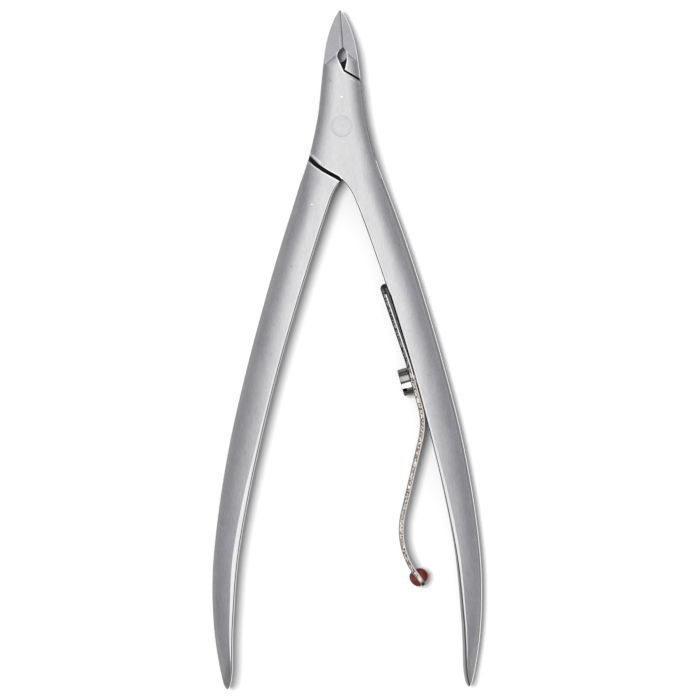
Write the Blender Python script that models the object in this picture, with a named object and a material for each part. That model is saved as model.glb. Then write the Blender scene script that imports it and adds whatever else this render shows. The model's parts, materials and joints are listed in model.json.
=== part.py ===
"""Cuticle nippers: two lapped steel halves on a flush rivet, with a parked leaf spring.

The tool lies flat.  +Y runs along the tool to the cutting points, +X to the side of the handle
that carries the spring, +Z up through the thickness.  The origin is on the pivot axis, at the
back face.  Lengths in the tables and constants below are millimetres.
"""
import math

import bmesh
import bpy
from mathutils import Matrix, Vector

MM = 0.001

# Thickness and lap joint
THICK = 6.0
MID = THICK / 2
LAP_GAP = 0.03
BLADE_GAP = 0.025

# Half width of the closed tool, measured from its axis, by height along the tool
OUTER = ((-92.0, 19.8), (-88.0, 20.73), (-82.0, 21.6), (-75.0, 21.89), (-69.0, 21.6), (-60.0, 20.48),
         (-50.0, 18.66), (-40.0, 16.25), (-30.0, 13.52), (-20.0, 10.5), (-10.0, 7.12), (-5.4, 5.5),
         (-1.5, 4.5), (2.4, 3.74), (8.0, 3.1), (12.8, 2.48), (15.7, 1.74), (17.7, 0.9), (19.0, 0.1))
# Inner edge of a handle, from the crotch down
INNER = ((-92.0, 19.45), (-90.0, 18.98), (-88.0, 18.73), (-84.0, 18.65), (-80.0, 18.48),
         (-70.0, 17.63), (-60.0, 15.88), (-50.0, 13.63), (-40.0, 11.05), (-30.0, 8.08), (-20.0, 4.85),
         (-11.8, 2.0), (-10.0, 1.15), (-8.56, 0.0))
# Section of a half by height along the tool: half thickness, exponent of the rounding, share of the
# width left flat, share of the half thickness that the rounding takes, and swell of the inner face
HALF_DEPTH = ((-92.0, 2.3), (-75.0, 2.6), (-50.0, 2.75), (-25.0, 2.92), (-10.0, MID), (20.0, MID))
ROUNDING = ((-92.0, 1.0), (-77.0, 1.0), (-62.0, 1.1), (-52.0, 1.2), (-44.0, 1.4), (-28.0, 2.0),
            (-10.0, 1.75), (20.0, 1.75))
FLAT_SHARE = ((-60.0, 0.02), (-36.0, 0.02), (-28.0, 0.12), (-12.0, 0.36), (-7.0, 0.4), (-2.0, 0.4),
              (4.4, 0.26), (10.0, 0.16), (20.0, 0.16))
SIDE_DROP = ((-14.0, 1.0), (-9.5, 0.75), (-7.0, 0.52), (-2.0, 0.44), (20.0, 0.4))
SWELL_SPRING_SIDE = ((-92.0, 0.64), (-84.0, 0.6), (-77.0, 0.5), (-70.0, 0.36), (-64.0, 0.24),
                     (-55.0, 0.14), (-15.0, 0.14), (-9.0, 0.08), (20.0, 0.0))
SWELL_PLAIN_SIDE = ((-92.0, 0.14), (-15.0, 0.14), (-9.0, 0.08), (20.0, 0.0))
# Slight sideways lean of the pair of handles
LEAN = ((-92.0, 0.02), (-75.0, 0.04), (-65.0, 0.11), (-55.0, 0.15), (-40.0, 0.17), (-25.0, 0.17),
        (-14.0, 0.1),
        (-9.6, 0.0))
ROUND_LIMIT = 0.998

HANDLE_END = -91.15
END_ROUND = 1.1
CROTCH_Y = -8.56
POINT_Y = 18.96

# Cutting line between the blades: heel and point
HEEL = Vector((0.39, 12.85))
POINT = Vector((0.08, 19.0))
TIP_BACK_RISE = 2.4
TIP_BACK_START = 9.0

# Slit below the front plate (its own edge), and the shoulder it faces on the other half
LOWER_EDGE = ((-0.13, -8.56), (-0.45, -8.14), (-2.19, -7.17), (-3.74, -6.13), (-5.09, -4.85))
LOWER_SHOULDER = ((9.0, -2.2), (5.39, -5.59), (4.62, -6.32), (3.23, -7.33), (0.6, -8.81), (-0.5, -9.4))
# Slit above each plate: plate edge, outer end first, and the eye edge up to the heel
FRONT_PLATE_EDGE = ((3.06, 7.31), (0.43, 8.85), (-0.24, 10.37), (-0.63, 11.35), (-0.53, 11.95),
                    (-0.17, 12.45))
REAR_PLATE_EDGE = ((3.1, 8.3), (0.45, 10.2), (-0.1, 10.45), (-0.57, 10.77), (-0.95, 11.35), (-0.87, 12.16))
FRONT_SHOULDER = ((-9.0, 4.5), (-3.25, 8.58), (-0.6, 10.52), (0.5, 11.2))
REAR_SHOULDER = ((-9.0, 4.24), (-3.2, 7.64), (-0.63, 9.17), (0.5, 9.85))
EYE_EDGE = ((0.63, 9.17), (0.9, 10.3), (1.02, 11.34), (0.87, 12.16), (0.42, 12.85))

# Blade facets
FACET_SLOPE = 0.495
CREASE_ANGLE = math.radians(42)
CREASE_DROP = 0.22
SHOULDER_RADIUS = 2.2
SHOULDER_ANGLE = math.radians(50)
BEVEL_WIDTH = 0.45
BEVEL_SLOPE = 0.4
EDGE_LAND = 0.6
HOLLOW_ANGLE = math.radians(22)

# Rivet
RIVET_RADIUS = 1.5
RIVET_HEAD_RADIUS = 1.72
RIVET_HEAD_DEPTH = 0.5
RIVET_FIT = 0.03

# Spring, screw and glide button; the spring's corners are (along, off the handle face, bend radius)
SCREW_Y = -41.1
STRIP_THICK = 0.8
STRIP_SEAT = 0.08
SEAT_OFF = STRIP_SEAT + STRIP_THICK / 2
SPRING_CORNERS = ((-15.9, 0.46, 0.0), (-15.9, 1.17, 0.42), (-2.9, SEAT_OFF, 12.0), (7.2, SEAT_OFF, 11.0),
                  (25.3, 10.58, 11.7), (32.6, 7.75, 0.0))
STRIP_WIDTH = ((-16.0, 3.6), (-5.0, 3.8), (0.0, 4.4), (5.0, 4.1), (24.0, 3.4), (40.0, 3.2))
END_RING = 1.55
ARM_START = 20.0
SCREW_RADIUS = 1.2
SCREW_LENGTH = 3.6
SCREW_POINT = 0.3
HEAD_LIFT = 0.03
HEAD_RADIUS = 2.2
HEAD_HEIGHT = 1.6
HEAD_CHAMFER = 0.2
SLOT_WIDTH = 0.6
SLOT_DEPTH = 0.7
SLOT_TURN = math.radians(-34)
SCREW_FIT = 0.05
BUTTON_ALONG = 1.6
NECK_RADIUS = 0.65
GLIDE_RADIUS = 1.35
GLIDE_HEIGHT = 1.0
SNAP_RADIUS = 1.25
SNAP_HEIGHT = 1.15
BUTTON_FIT = 0.03

# Mesh: levels through the thickness, steps across half the width, sections along a handle
SHARP_ANGLE = math.radians(32)
LEVELS = (1.0, 0.6, 0.0, -0.6, -1.0)
ROW_STEPS = 9
HANDLE_STEPS = 28
ARC_STEPS = 6
WELD = 0.000002


# ---------------------------------------------------------------- curves and meshes

def curve(table, y):
    """Smooth value of a table of (position, value) pairs."""
    if y <= table[0][0]:
        return table[0][1]
    if y >= table[-1][0]:
        return table[-1][1]
    i = max(k for k in range(len(table) - 1) if table[k][0] <= y)

    def slope(k):
        a, b = table[max(k - 1, 0)], table[min(k + 1, len(table) - 1)]
        return (b[1] - a[1]) / (b[0] - a[0])

    (y0, v0), (y1, v1) = table[i], table[i + 1]
    d = y1 - y0
    t = (y - y0) / d
    return ((2 * t**3 - 3 * t**2 + 1) * v0 + (t**3 - 2 * t**2 + t) * d * slope(i)
            + (3 * t**2 - 2 * t**3) * v1 + (t**3 - t**2) * d * slope(i + 1))


def make_object(name, bm):
    mesh = bpy.data.meshes.new(name)
    bmesh.ops.recalc_face_normals(bm, faces=bm.faces)
    bm.to_mesh(mesh)
    bm.free()
    obj = bpy.data.objects.new(name, mesh)
    bpy.context.scene.collection.objects.link(obj)
    return obj


def loft(name, rings):
    """Closed body through rings of points, all with the same number of points."""
    bm = bmesh.new()
    rows = [[bm.verts.new(Vector(p) * MM) for p in ring] for ring in rings]
    count = len(rows[0])
    for low, high in zip(rows, rows[1:]):
        for i in range(count):
            j = (i + 1) % count
            bm.faces.new((low[i], low[j], high[j], high[i]))
    bm.faces.new(rows[0][::-1])
    bm.faces.new(rows[-1])
    return make_object(name, bm)


def prism(name, outline, base, along, across, up):
    """Prism of a flat outline given in (across, up), pushed from base by the vector along."""
    base, along, across, up = (Vector(v) for v in (base, along, across, up))
    near = [base + across * a + up * b for a, b in outline]
    return loft(name, (near, [p + along for p in near]))


def turned(name, profile, steps, frame):
    """Body of revolution: profile of (radius, height), closed on its axis at both ends."""
    bm = bmesh.new()
    rings = []
    for radius, height in profile:
        if radius == 0:
            rings.append([bm.verts.new(frame @ Vector((0, 0, height)) * MM)])
        else:
            angles = (2 * math.pi * k / steps for k in range(steps))
            rings.append([bm.verts.new(frame @ Vector((radius * math.cos(a), radius * math.sin(a), height))
                                       * MM)
                          for a in angles])
    for low, high in zip(rings, rings[1:]):
        for i in range(steps):
            j = (i + 1) % steps
            if len(low) == 1:
                bm.faces.new((low[0], high[j], high[i]))
            elif len(high) == 1:
                bm.faces.new((low[i], low[j], high[0]))
            else:
                bm.faces.new((low[i], low[j], high[j], high[i]))
    return make_object(name, bm)


def combine(obj, tool, operation="DIFFERENCE"):
    """Apply a Boolean of the tool body to the object and remove the tool."""
    mod = obj.modifiers.new("cut", "BOOLEAN")
    mod.operation, mod.solver, mod.object = operation, "EXACT", tool
    graph = bpy.context.evaluated_depsgraph_get()
    mesh = bpy.data.meshes.new_from_object(obj.evaluated_get(graph))
    obj.modifiers.clear()
    obj.data = mesh
    bpy.data.objects.remove(tool)
    bm = bmesh.new()
    bm.from_mesh(mesh)
    bmesh.ops.remove_doubles(bm, verts=bm.verts, dist=WELD)
    bmesh.ops.dissolve_degenerate(bm, edges=bm.edges, dist=WELD)
    bm.to_mesh(mesh)
    bm.free()


def finish(obj, material):
    obj.data.materials.clear()
    obj.data.materials.append(material)
    obj.data.shade_smooth()
    obj.data.set_sharp_from_angle(angle=SHARP_ANGLE)


def make_material(name, colour, roughness, metallic):
    material = bpy.data.materials.new(name)
    material.use_nodes = True
    shader = material.node_tree.nodes["Principled BSDF"]
    shader.inputs["Base Color"].default_value = (*colour, 1.0)
    shader.inputs["Roughness"].default_value = roughness
    shader.inputs["Metallic"].default_value = metallic
    material.diffuse_color = (*colour, 1.0)
    return material


# ---------------------------------------------------------------- the two halves

def stations():
    """Heights of the sections of one half, each with the share of full width and depth there."""
    first = HANDLE_END + END_ROUND
    turns = [math.radians(16.5 * k) for k in range(5, 0, -1)]
    rows = [(HANDLE_END + END_ROUND * (1 - math.sin(t)), math.cos(t), 0.3 + 0.7 * math.cos(t)) for t in turns]
    reach = CROTCH_Y - 2.0 - first
    heights = [first + reach * k / HANDLE_STEPS for k in range(HANDLE_STEPS + 1)]
    heights += [-9.8, -9.2, CROTCH_Y] + [-7.6 + 1.2 * k for k in range(18)] + [13.6, 14.4, 15.2, 15.9]
    heights += [16.6, 17.2, 17.7, 18.2, 18.6, POINT_Y]
    return rows + [(y, 1.0, 1.0) for y in heights]


def crown(y, share):
    """Share of the half thickness left at a share of the width, 0 at the crest and 1 at the side."""
    flat = curve(FLAT_SHARE, y)
    part = max(0.0, (abs(share) - flat) / (1 - flat)) * ROUND_LIMIT
    return 1 - curve(SIDE_DROP, y) * (1 - math.sqrt(1 - part ** curve(ROUNDING, y)))


def half_body(name, side):
    """One half's handle and the whole width of the joint and jaws, at full thickness."""
    swells = SWELL_SPRING_SIDE if side > 0 else SWELL_PLAIN_SIDE
    spread = [math.sin(math.pi / 2 * i / ROW_STEPS) for i in range(ROW_STEPS + 1)]
    columns = [-u for u in spread[:0:-1]] + spread
    rows = stations()
    bm = bmesh.new()
    made = {}

    def point(j, i, level):
        key = (j, i, level)
        if key not in made:
            y, scale, depth_scale = rows[j]
            width, inner = curve(OUTER, y), curve(INNER, y) if y < CROTCH_Y else 0.0
            swell = curve(swells, y) * scale
            middle, reach = (width + inner) / 2, (width - inner) / 2 * scale
            near, far, u = middle - reach + swell, middle + reach, columns[i]
            rise = TIP_BACK_RISE * max(0.0, (y - TIP_BACK_START) / (POINT.y - TIP_BACK_START)) ** 2
            top = curve(HALF_DEPTH, y) * depth_scale
            c = LEVELS[level]
            height = c * (top if c > 0 else top - rise) * crown(y, u)
            x = near + (far - near) * u if inner > 0 else width * u
            if u == 0 and inner > 0:
                x -= swell * (1 - c * c)
            spot = Vector((side * x + curve(LEAN, y), y, MID + height))
            made[key] = bm.verts.new(spot * MM)
        return made[key]

    cells = {(j, i) for j in range(len(rows) - 1) for i in range(len(columns) - 1)
             if i >= ROW_STEPS or rows[j][0] >= CROTCH_Y}
    last = len(LEVELS) - 1
    for j, i in sorted(cells):
        corners = ((j, i), (j, i + 1), (j + 1, i + 1), (j + 1, i))
        for level in (0, last):
            bm.faces.new([point(*c, level) for c in corners])
        beyond = ((j - 1, i), (j, i + 1), (j + 1, i), (j, i - 1))
        for k, cell in enumerate(beyond):
            if cell not in cells:
                a, b = corners[k], corners[(k + 1) % 4]
                for level in range(last):
                    bm.faces.new((point(*a, level), point(*b, level),
                                  point(*b, level + 1), point(*a, level + 1)))
    return make_object(name, bm)


def cut_outline(obj, side, plate_edge):
    """Trim the joint's full width to this half's own plate edges, eye edge and blade line."""
    heel = (side * HEEL.x - BLADE_GAP, HEEL.y)
    tip = side * POINT.x - BLADE_GAP
    upper = ((9.0, 4.2),) + plate_edge + (heel, (tip, POINT.y), (tip, 21.0), (9.0, 21.0))
    lower = LOWER_EDGE + ((-9.0, -1.15), (-9.0, -9.6), (LOWER_EDGE[0][0], -9.6))
    for outline in (upper, lower):
        outline = [(side * x, y) for x, y in outline]
        combine(obj, prism("trim", outline, (0, 0, -1.0), (0, 0, THICK + 2.0), (1, 0, 0), (0, 1, 0)))


def cut_lap(obj, side, upper):
    """Half the thickness is taken away where the other half's plate crosses."""
    outline = upper + ((9.0, upper[-1][1]),) + LOWER_SHOULDER + ((-9.0, LOWER_SHOULDER[-1][1]),)
    outline = [(side * x, y) for x, y in outline]
    start = -1.0 if side > 0 else MID - LAP_GAP / 2
    depth = MID + LAP_GAP / 2 + 1.0
    combine(obj, prism("lap", outline, (0, 0, start), (0, 0, depth), (1, 0, 0), (0, 1, 0)))


def heel_height():
    return THICK - SHOULDER_RADIUS * (1 - math.cos(SHOULDER_ANGLE))


def cut_facet(obj, side):
    """Ground facet of one blade, with the rounded shoulder behind it."""
    sine, cosine = math.sin(CREASE_ANGLE), math.cos(CREASE_ANGLE)
    away = Vector((side * sine, cosine, 0))
    down = Vector((side * cosine, -sine, 0))
    reach = SHOULDER_RADIUS * math.sin(SHOULDER_ANGLE)
    turns = [SHOULDER_ANGLE * k / ARC_STEPS for k in range(ARC_STEPS + 1)]
    arc = [(SHOULDER_RADIUS * math.sin(t) - reach, THICK - SHOULDER_RADIUS * (1 - math.cos(t)))
           for t in turns]
    arc[0] = (-reach - 0.02, THICK + 0.01)
    outline = arc + [(8.0, heel_height() - 8.0 * FACET_SLOPE), (8.0, 9.0), (-reach - 0.02, 9.0)]
    base = Vector((HEEL.x, HEEL.y - (CREASE_DROP if side > 0 else 0.0), 0)) - down * 8.0
    combine(obj, prism("facet", outline, base, down * 16.0, away, (0, 0, 1)))


def edge_line():
    """Ridge line of the blades, heel to point, as a start and a direction to the point's height."""
    run = POINT - HEEL
    fall = FACET_SLOPE * math.cos(CREASE_ANGLE) * run.y
    start = Vector((HEEL.x, HEEL.y, heel_height()))
    return start, Vector((run.x, run.y, -fall))


def cut_bevel(obj):
    """Narrow honed strip along the cutting edge of the front half's blade."""
    start, along = edge_line()
    fall = FACET_SLOPE * math.sin(CREASE_ANGLE) * BEVEL_WIDTH
    outline = [(-BEVEL_WIDTH, -fall), (0.3, -fall - BEVEL_SLOPE * (BEVEL_WIDTH + 0.3)), (0.3, 1.0),
               (-BEVEL_WIDTH, 1.0)]
    combine(obj, prism("bevel", outline, start - along * 0.05, along * 1.2, (1, 0, 0), (0, 0, 1)))


def cut_hollow(obj, side):
    """The inner faces part behind the edge, so only a narrow land meets."""
    start, along = edge_line()
    spread = 6.0 * math.tan(HOLLOW_ANGLE)
    outline = [(0.0, -EDGE_LAND), (side * spread, -EDGE_LAND - 6.0), (-side * 1.5, -EDGE_LAND - 6.0),
               (-side * 1.5, -EDGE_LAND)]
    combine(obj, prism("hollow", outline, start - along * 0.28, along * 1.4, (1, 0, 0), (0, 0, 1)))


def cut_rivet_hole(obj):
    head, shank = RIVET_HEAD_RADIUS + RIVET_FIT, RIVET_RADIUS + RIVET_FIT
    depth = RIVET_HEAD_DEPTH
    profile = [(0, -1.0), (head, -1.0), (head, 0.0), (shank, depth), (shank, THICK - depth), (head, THICK),
               (head, THICK + 1.0), (0, THICK + 1.0)]
    combine(obj, turned("hole", profile, 40, Matrix.Identity(4)))


def make_front_half(material):
    obj = half_body("front_half", 1)
    cut_facet(obj, -1)
    cut_outline(obj, 1, FRONT_PLATE_EDGE)
    cut_lap(obj, 1, FRONT_SHOULDER)
    cut_bevel(obj)
    cut_hollow(obj, -1)
    cut_rivet_hole(obj)
    frame = screw_frame()
    hole = [(0, -SCREW_LENGTH - 0.4), (SCREW_RADIUS + SCREW_FIT, -SCREW_LENGTH - 0.1),
            (SCREW_RADIUS + SCREW_FIT, 0.6), (0, 0.6)]
    combine(obj, turned("screw_hole", hole, 32, frame))
    finish(obj, material)


def make_rear_half(material):
    obj = half_body("rear_half", -1)
    cut_facet(obj, 1)
    cut_outline(obj, -1, REAR_PLATE_EDGE)
    cut_lap(obj, -1, REAR_SHOULDER)
    eye = ((-1.5, 8.3),) + EYE_EDGE + ((-1.5, HEEL.y),)
    combine(obj, prism("eye", eye, (0, 0, MID - LAP_GAP / 2), (0, 0, 5.0), (1, 0, 0), (0, 1, 0)))
    cut_hollow(obj, 1)
    cut_rivet_hole(obj)
    finish(obj, material)


def make_rivet(material):
    head, depth = RIVET_HEAD_RADIUS, RIVET_HEAD_DEPTH
    profile = [(0, 0), (head, 0), (RIVET_RADIUS, depth), (RIVET_RADIUS, THICK - depth), (head, THICK),
               (0.2, THICK), (0, THICK - 0.12)]
    finish(turned("pivot_rivet", profile, 40, Matrix.Identity(4)), material)


# ---------------------------------------------------------------- spring, screw and button

def inner_face(y):
    """Position across the tool of the spring handle's inner face."""
    return curve(INNER, y) + curve(LEAN, y)


def screw_frame():
    """Frame at the screw: third axis off the handle's inner face, first axis along the handle."""
    step = 0.5
    slope = (inner_face(SCREW_Y + step) - inner_face(SCREW_Y - step)) / (2 * step)
    along = Vector((-slope, -1.0, 0)).normalized()
    off = Vector((along.y, -along.x, 0))
    frame = Matrix((along, Vector((0, 0, 1)), off)).transposed().to_4x4()
    frame.translation = Vector((inner_face(SCREW_Y), SCREW_Y, MID))
    return frame


def spring_path():
    """Centre line of the strip in the screw frame: straight runs joined by arcs."""
    corners = [(Vector((a, b)), r) for a, b, r in SPRING_CORNERS]
    path = [corners[0][0]]
    for (before, _), (corner, radius), (after, _) in zip(corners, corners[1:], corners[2:]):
        u, v = (before - corner).normalized(), (after - corner).normalized()
        half = u.angle(v) / 2
        cut = radius / math.tan(half)
        centre = corner + (u + v).normalized() * radius / math.sin(half)
        start, end = corner + u * cut - centre, corner + v * cut - centre
        sweep = math.pi - 2 * half
        steps = max(2, math.ceil(sweep / math.radians(5)))
        for k in range(steps + 1):
            w = k / steps
            mix = start * math.sin((1 - w) * sweep) + end * math.sin(w * sweep)
            path.append(centre + mix / math.sin(sweep))
    path.append(corners[-1][0])
    return path


def densify(path, gap):
    """The path with extra points so that no step is longer than gap."""
    out = [path[0]]
    for a, b in zip(path, path[1:]):
        steps = max(1, math.ceil((b - a).length / gap))
        out += [a.lerp(b, k / steps) for k in range(1, steps + 1)]
    return out


def button_centre():
    """Centre of the button hole and the strip's direction there, in the screw frame."""
    last, before = (Vector(SPRING_CORNERS[k][:2]) for k in (-1, -2))
    along = (last - before).normalized()
    return last - along * BUTTON_ALONG, along


def make_spring(material):
    frame = screw_frame()
    path = densify(spring_path(), 1.6)
    _, tail = button_centre()
    rounding = [path[-1] - tail * END_RING * (1 - math.sin(math.radians(a))) for a in (0, 18, 36, 54, 70, 82)]
    path = [p for p in path if (p - rounding[0]).dot(tail) < -0.05 or p.x < ARM_START] + rounding
    rings = []
    for i, p in enumerate(path):
        a, b = path[max(i - 1, 0)], path[min(i + 1, len(path) - 1)]
        run = (b - a).normalized()
        side = Vector((-run.y, run.x)) * STRIP_THICK / 2
        beyond = (p - rounding[0]).dot(tail) if p.x > ARM_START else 0.0
        width = curve(STRIP_WIDTH, p.x) / 2 * math.sqrt(1 - (max(0.0, beyond) / END_RING) ** 2)
        q, r = p + side, p - side
        corners = ((q, -width), (q, width), (r, width), (r, -width))
        rings.append([frame @ Vector((c.x, w, c.y)) for c, w in corners])
    obj = loft("leaf_spring", rings)
    reach = SEAT_OFF + STRIP_THICK
    hole = [(0, SEAT_OFF - reach), (SCREW_RADIUS + SCREW_FIT, SEAT_OFF - reach),
            (SCREW_RADIUS + SCREW_FIT, SEAT_OFF + reach), (0, SEAT_OFF + reach)]
    combine(obj, turned("screw_hole", hole, 32, frame))
    radius = NECK_RADIUS + BUTTON_FIT
    hole = [(0, -2.0), (radius, -2.0), (radius, 2.0), (0, 2.0)]
    combine(obj, turned("button_hole", hole, 24, button_frame()))
    finish(obj, material)


def make_screw(material):
    head = SEAT_OFF + STRIP_THICK / 2 + HEAD_LIFT
    top = head + HEAD_HEIGHT
    round_off = HEAD_CHAMFER * 0.3
    profile = [(0, -SCREW_LENGTH), (SCREW_RADIUS - SCREW_POINT, -SCREW_LENGTH),
               (SCREW_RADIUS, -SCREW_LENGTH + SCREW_POINT),
               (SCREW_RADIUS, head), (HEAD_RADIUS - 0.06, head), (HEAD_RADIUS, head + 0.06),
               (HEAD_RADIUS, top - HEAD_CHAMFER), (HEAD_RADIUS - round_off, top - round_off),
               (HEAD_RADIUS - HEAD_CHAMFER, top), (0, top)]
    frame = screw_frame()
    obj = turned("spring_screw", profile, 40, frame)
    half, far = SLOT_WIDTH / 2, HEAD_RADIUS + 0.5
    outline = [(-half, top - SLOT_DEPTH), (half, top - SLOT_DEPTH), (half, top + 0.5), (-half, top + 0.5)]
    turn = Matrix.Rotation(SLOT_TURN, 3, "Z")
    axes = [frame.to_3x3() @ turn @ Vector(v) for v in ((1, 0, 0), (0, 1, 0), (0, 0, 1))]
    base = frame.translation - axes[1] * far
    combine(obj, prism("slot", outline, base, axes[1] * 2 * far, axes[0], axes[2]))
    finish(obj, material)


def button_frame():
    """Frame on the button's axis at the strip's centre, third axis away from the handle."""
    centre, run = button_centre()
    base = screw_frame()
    along = base.to_3x3() @ Vector((run.x, 0, run.y))
    off = base.to_3x3() @ Vector((-run.y, 0, run.x))
    frame = Matrix((along, off.cross(along), off)).transposed().to_4x4()
    frame.translation = base @ Vector((centre.x, 0, centre.y))
    return frame


def dome(radius, height, base, steps, sign):
    """Quarter-ellipse profile from the rim to the axis."""
    turns = [math.pi / 2 * k / steps for k in range(steps)]
    points = [(radius * math.cos(t), base + sign * height * math.sin(t)) for t in turns]
    return points + [(0, base + sign * height)]


def make_button(material):
    face = STRIP_THICK / 2 + BUTTON_FIT
    snap = dome(SNAP_RADIUS, SNAP_HEIGHT, -face, 7, -1)[::-1]
    glide = dome(GLIDE_RADIUS, GLIDE_HEIGHT, face, 8, 1)
    profile = snap + [(NECK_RADIUS, -face), (NECK_RADIUS, face)] + glide
    finish(turned("glide_button", profile, 28, button_frame()), material)


def build():
    for obj in list(bpy.data.objects):
        bpy.data.objects.remove(obj)
    satin = make_material("satin_steel", (0.62, 0.63, 0.65), 0.34, 1.0)
    rivet = make_material("rivet_steel", (0.64, 0.64, 0.66), 0.3, 1.0)
    strip = make_material("spring_steel", (0.45, 0.38, 0.32), 0.38, 1.0)
    bright = make_material("bright_steel", (0.5, 0.49, 0.48), 0.18, 1.0)
    red = make_material("red_plastic", (0.36, 0.06, 0.035), 0.35, 0.0)
    make_front_half(satin)
    make_rear_half(satin.copy())
    make_rivet(rivet)
    make_spring(strip)
    make_screw(bright)
    make_button(red)


build()
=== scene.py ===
"""Looks of the cuticle nippers: finer steel halves, rivet, spring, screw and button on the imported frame.

The tool lies on a white table and is seen from straight above.  The frame is the CAD model's: +Y along
the tool to the cutting points, +X to the handle that carries the spring, +Z up, origin on the pivot axis
at the back face.  Lengths in the tables and constants below are millimetres.
"""
import json
import math

import bmesh
import bpy
from mathutils import Matrix, Vector


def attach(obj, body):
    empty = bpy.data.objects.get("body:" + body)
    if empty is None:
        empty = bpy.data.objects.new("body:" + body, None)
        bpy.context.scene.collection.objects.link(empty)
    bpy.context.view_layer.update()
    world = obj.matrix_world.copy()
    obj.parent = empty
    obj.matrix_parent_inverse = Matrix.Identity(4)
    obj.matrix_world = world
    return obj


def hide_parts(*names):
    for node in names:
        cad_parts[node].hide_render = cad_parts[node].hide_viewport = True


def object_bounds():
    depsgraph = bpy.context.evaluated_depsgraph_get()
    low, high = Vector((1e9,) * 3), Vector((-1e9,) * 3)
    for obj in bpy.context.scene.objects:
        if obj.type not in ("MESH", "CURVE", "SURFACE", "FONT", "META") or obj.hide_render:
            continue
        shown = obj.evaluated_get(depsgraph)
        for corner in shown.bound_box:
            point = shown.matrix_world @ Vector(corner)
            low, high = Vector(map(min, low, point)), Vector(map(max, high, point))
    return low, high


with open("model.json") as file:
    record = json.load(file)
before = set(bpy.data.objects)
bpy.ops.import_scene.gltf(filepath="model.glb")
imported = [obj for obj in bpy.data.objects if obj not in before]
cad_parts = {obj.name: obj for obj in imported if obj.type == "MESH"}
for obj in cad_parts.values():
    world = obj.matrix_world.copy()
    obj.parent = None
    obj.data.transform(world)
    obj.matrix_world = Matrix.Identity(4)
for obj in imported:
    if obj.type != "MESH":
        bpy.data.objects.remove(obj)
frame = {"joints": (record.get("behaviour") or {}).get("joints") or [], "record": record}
cad_low, cad_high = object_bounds()

MM = 0.001
LENGTH = (cad_high.y - cad_low.y) / MM
MID = next(j for j in frame["joints"] if j["name"] == "jaw_pivot")["pos_m"][2] / MM
THICK = 2 * MID
ACROSS, ALONG, UP = Vector((1, 0, 0)), Vector((0, 1, 0)), Vector((0, 0, 1))
LAP_GAP = 0.03
BLADE_GAP = 0.012

# Half width of the closed tool, measured from its axis, by height along the tool
OUTER = ((-92.0, 19.8), (-88.0, 20.73), (-82.0, 21.6), (-75.0, 21.89), (-69.0, 21.6), (-60.0, 20.48),
         (-50.0, 18.66), (-40.0, 16.25), (-30.0, 13.52), (-20.0, 10.5), (-10.0, 7.12), (-5.4, 5.5),
         (-1.5, 4.5), (2.4, 3.74), (8.0, 3.1), (12.8, 2.48), (15.7, 1.74), (17.7, 0.9), (19.0, 0.1))
# Inner edge of a handle, from the crotch down
INNER = ((-92.0, 19.45), (-90.0, 18.98), (-88.0, 18.73), (-84.0, 18.65), (-80.0, 18.48), (-70.0, 17.63),
         (-60.0, 15.88), (-50.0, 13.63), (-40.0, 11.05), (-30.0, 8.08), (-20.0, 4.85), (-11.8, 2.0),
         (-10.0, 1.15), (-8.56, 0.0))
# Section of a half by height along the tool: half thickness, exponent of the rounding, share of the width
# left flat, share of the half thickness that the rounding takes, and swell of the handle's inner face
HALF_DEPTH = ((-92.0, 2.3), (-75.0, 2.6), (-50.0, 2.75), (-25.0, 2.92), (-10.0, MID), (20.0, MID))
ROUNDING = ((-92.0, 1.0), (-77.0, 1.0), (-62.0, 1.1), (-52.0, 1.2), (-44.0, 1.4), (-28.0, 2.0),
            (-10.0, 1.75), (20.0, 1.75))
FLAT_SHARE = ((-60.0, 0.02), (-36.0, 0.02), (-28.0, 0.12), (-12.0, 0.36), (-7.0, 0.4), (-2.0, 0.4),
              (4.4, 0.26), (10.0, 0.16), (20.0, 0.16))
SIDE_DROP = ((-14.0, 1.0), (-9.5, 0.75), (-7.0, 0.52), (-2.0, 0.44), (20.0, 0.4))
SWELL_SPRING_SIDE = ((-92.0, 0.64), (-84.0, 0.6), (-77.0, 0.5), (-70.0, 0.36), (-64.0, 0.24), (-55.0, 0.14),
                     (-38.5, 0.14), (-29.0, 0.26), (-27.4, 0.28), (-26.6, 0.14), (-15.0, 0.14), (-9.0, 0.08),
                     (20.0, 0.0))
SWELL_PLAIN_SIDE = ((-92.0, 0.14), (-15.0, 0.14), (-9.0, 0.08), (20.0, 0.0))
# Worn flat along the crest of the inner edge, toned brighter as a painted highlight: width on the spring side
# and on the plain side
WORN_SPRING_SIDE = ((-92.0, 0.02), (-88.0, 0.05), (-84.0, 0.16), (-77.0, 0.26), (-64.0, 0.46), (-57.0, 0.42),
                    (-50.0, 0.3), (-40.0, 0.2), (-12.0, 0.2), (-9.0, 0.1))
WORN_PLAIN_SIDE = ((-92.0, 0.02), (-88.0, 0.04), (-84.0, 0.26), (-77.0, 0.5), (-70.0, 0.7), (-64.0, 0.7),
                   (-59.0, 0.6), (-53.0, 0.42), (-45.0, 0.26), (-12.0, 0.2), (-9.0, 0.1))
WORN_SLOPE = 0.08
# Least and greatest share of the rounding that the worn flat may take
WORN_SHARE_MIN = 0.01
WORN_SHARE_MAX = 0.5
# The worn flat keeps the plain satin finish below this height
WORN_FROM = -86.5
# Rows of the surface along the outer burr that are darkened as painted shade
SHADED_ROWS = 4
# Material slots of a half; FOOT_WALL is the spring handle's upper wall, toned with painted shade that turns
# lighter near its foot
SATIN, WORN, WALL, BURR_HIGHLIGHT, SHADED, FOOT_WALL = range(6)
# Burr left where the ground back meets the sides that face +X; its ledge is toned bright as a painted
# highlight
BURR = 0.11
# Slight sideways lean of the pair of handles
LEAN = ((-92.0, 0.02), (-75.0, 0.04), (-65.0, 0.11), (-55.0, 0.15), (-40.0, 0.17), (-25.0, 0.17),
        (-14.0, 0.1), (-9.6, 0.0))
ROUND_LIMIT = 0.998

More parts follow.
